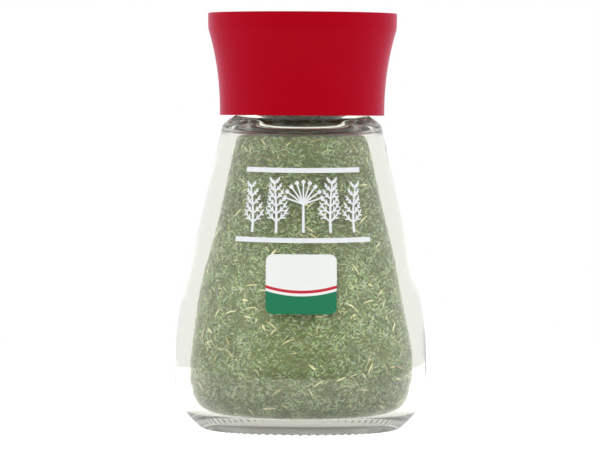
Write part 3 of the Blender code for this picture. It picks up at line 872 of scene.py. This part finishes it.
def label_mesh(columns, rows):
    mesh = bmesh.new()
    uv = mesh.loops.layers.uv.new("sheet")
    corners, sheet = {}, {}
    for layer, lift in enumerate((LABEL_LIFT, LABEL_LIFT + LABEL_THICKNESS)):
        for column in range(columns + 1):
            across = -math.cos(column / columns * math.pi) * LABEL_HALF_WIDTH
            past = max(0, abs(across) - (LABEL_HALF_WIDTH - LABEL_ROUND))
            reach = label_half_height - LABEL_ROUND + math.sqrt(max(LABEL_ROUND**2 - past**2, 0))
            for row in range(rows + 1):
                z = label_middle + (2 * row / rows - 1) * reach
                r = np.interp(z, [p[1] for p in OUTSIDE_WALL], [p[0] for p in OUTSIDE_WALL])
                vert = mesh.verts.new(on_glass(across / r, z, lift))
                corners[layer, column, row] = vert
                sheet[vert] = (0.5 + across / LABEL_HALF_WIDTH / 2, 0.5 + (z - label_middle) / label_half_height / 2)
    for layer in (0, 1):
        for column in range(columns):
            for row in range(rows):
                patch = ((column, row), (column + 1, row), (column + 1, row + 1), (column, row + 1))
                mesh.faces.new([corners[layer, *corner] for corner in patch])
    rim = [(column, 0) for column in range(columns)] + [(columns, row) for row in range(rows)]
    rim += [(column, rows) for column in range(columns, 0, -1)] + [(0, row) for row in range(rows, 0, -1)]
    for here, there in zip(rim, rim[1:] + rim[:1]):
        mesh.faces.new((corners[0, *here], corners[0, *there], corners[1, *there], corners[1, *here]))
    for face in mesh.faces:
        for loop in face.loops:
            loop[uv].uv = sheet[loop.vert]
    return mesh


label = finished("label_sheet", label_mesh(56, 40))
film, tree, shader = painted("label_film", LABEL_WHITE, 0.4)
surfaced(tree, shader, 0.008, Grain_Size=0.2, Grain=1.0, Wave_Size=3.0, Wave=0.5, Roughness=0.38, Spread=0.15)
sheet = node(tree, "ShaderNodeUVMap", uv_map="sheet").outputs[0]
sides = node(tree, "ShaderNodeSeparateXYZ", {0: sheet}).outputs
bow = node(tree, "ShaderNodeMath", {0: sides["X"], 1: 0.5}, operation="SUBTRACT").outputs[0]
bow = node(tree, "ShaderNodeMath", {0: bow, 1: bow}, operation="MULTIPLY").outputs[0]
rise = node(tree, "ShaderNodeMath", {0: bow, 1: -0.35, 2: sides["Y"]}, operation="MULTIPLY_ADD").outputs[0]
in_green = node(tree, "ShaderNodeMath", {0: rise, 1: 0.3}, operation="LESS_THAN").outputs[0]
in_line = node(tree, "ShaderNodeMath", {0: rise, 1: 0.37, 2: 0.025}, operation="COMPARE").outputs[0]
with_green = node(
    tree, "ShaderNodeMix", {0: in_green, 6: (*LABEL_WHITE, 1), 7: (*LABEL_GREEN, 1)}, data_type="RGBA"
).outputs[2]
with_line = node(
    tree, "ShaderNodeMix", {0: in_line, 6: with_green, 7: (*LABEL_RED, 1)}, data_type="RGBA"
).outputs[2]
tree.links.new(with_line, shader.inputs["Base Color"])
label.data.materials.append(film)
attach(label, "jar")
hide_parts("label")

# Stage, light and camera. A white floor, a bright back and top, dimmer in front as in a studio tent,
# and a long lens a little above the middle of the jar.
floor_mesh = bmesh.new()
bmesh.ops.create_circle(floor_mesh, cap_ends=True, radius=0.32, segments=96)
floor = finished("floor", floor_mesh)
paper, tree, shader = painted("white_paper", (0.6, 0.6, 0.6), 1.0)
shader.inputs["Specular IOR Level"].default_value = 0.0
shader.inputs["Emission Color"].default_value = (1, 1, 1, 1)
seen = node(tree, "ShaderNodeLightPath").outputs["Is Camera Ray"]
glow = node(tree, "ShaderNodeMapRange", {0: seen, 3: 0.4, 4: 1.0}).outputs[0]
tree.links.new(glow, shader.inputs["Emission Strength"])
floor.data.materials.append(paper)

scene = bpy.context.scene
scene.view_settings.view_transform = "Standard"
scene.cycles.max_bounces = 32
scene.cycles.glossy_bounces = 24
scene.cycles.transmission_bounces = 32
world = bpy.data.worlds.new("studio_tent")
scene.world = world
world.use_nodes = True
tree = world.node_tree
tree.nodes.clear()
way = node(tree, "ShaderNodeTexCoord").outputs["Generated"]
parts = node(tree, "ShaderNodeSeparateXYZ", {0: way}).outputs
back = node(tree, "ShaderNodeMapRange", {0: parts["Y"], 1: -1.0, 2: 1.0}).outputs[0]
above = node(tree, "ShaderNodeMapRange", {0: parts["Z"], 1: 0.3, 2: 0.8, 3: 0.0, 4: 1.0}).outputs[0]


def tent(front, *levels, top):
    """Brightness from the front of the tent to its back, as (place, level) steps, and at its top."""
    ramp = node(tree, "ShaderNodeValToRGB", {0: back})
    stops = ramp.color_ramp.elements
    stops[0].color = (front, front, front, 1)
    stops[1].position, stops[1].color = levels[-1][0], (levels[-1][1],) * 3 + (1,)
    for place, level in levels[:-1]:
        stops.new(place).color = (level, level, level, 1)
    return node(tree, "ShaderNodeMix", {0: above, 2: ramp.outputs[0], 3: top}, data_type="FLOAT").outputs[0]


mirrored = tent(0.12, (0.06, 0.2), (0.2, 0.75), (0.35, 0.88), (1.0, 0.88), top=1.1)
soft = tent(0.9, (0.3, 0.95), (0.5, 1.25), (1.0, 1.2), top=1.1)
soaked = tent(3.6, (0.3, 2.9), (0.5, 1.8), (1.0, 1.3), top=2.3)
path = node(tree, "ShaderNodeLightPath").outputs
dull = node(tree, "ShaderNodeMath", {0: path["Diffuse Depth"], 1: 0.5}, operation="GREATER_THAN").outputs[0]
inside = node(tree, "ShaderNodeMath", {0: path["Transmission Depth"], 1: 1.5}, operation="GREATER_THAN").outputs[0]
scattered_light = node(tree, "ShaderNodeMix", {0: inside, 2: soft, 3: soaked}, data_type="FLOAT").outputs[0]
lit = node(tree, "ShaderNodeMix", {0: dull, 2: mirrored, 3: scattered_light}, data_type="FLOAT").outputs[0]
level = node(tree, "ShaderNodeMix", {0: path["Is Camera Ray"], 2: lit, 3: 1.0}, data_type="FLOAT").outputs[0]
background = node(tree, "ShaderNodeBackground", {"Color": (1, 1, 1, 1), "Strength": level})
output = node(tree, "ShaderNodeOutputWorld", {0: background.outputs[0]})

CAMERA_DISTANCE = 0.915
CAMERA_HEIGHT = 0.0745
AIM = Vector((-0.00034, 0, 0.0466))
ROLL = math.radians(0.3)
eye = Vector((AIM.x, -CAMERA_DISTANCE, CAMERA_HEIGHT))
camera = bpy.data.objects.new("camera", bpy.data.cameras.new("camera"))
scene.collection.objects.link(camera)
camera.data.lens = 240
camera.data.sensor_width = 36
camera.data.clip_start = 0.01
look = (AIM - eye).to_track_quat("-Z", "Y").to_matrix()
camera.matrix_world = Matrix.Translation(eye) @ (look @ Matrix.Rotation(ROLL, 3, "Z")).to_4x4()
scene.camera = camera
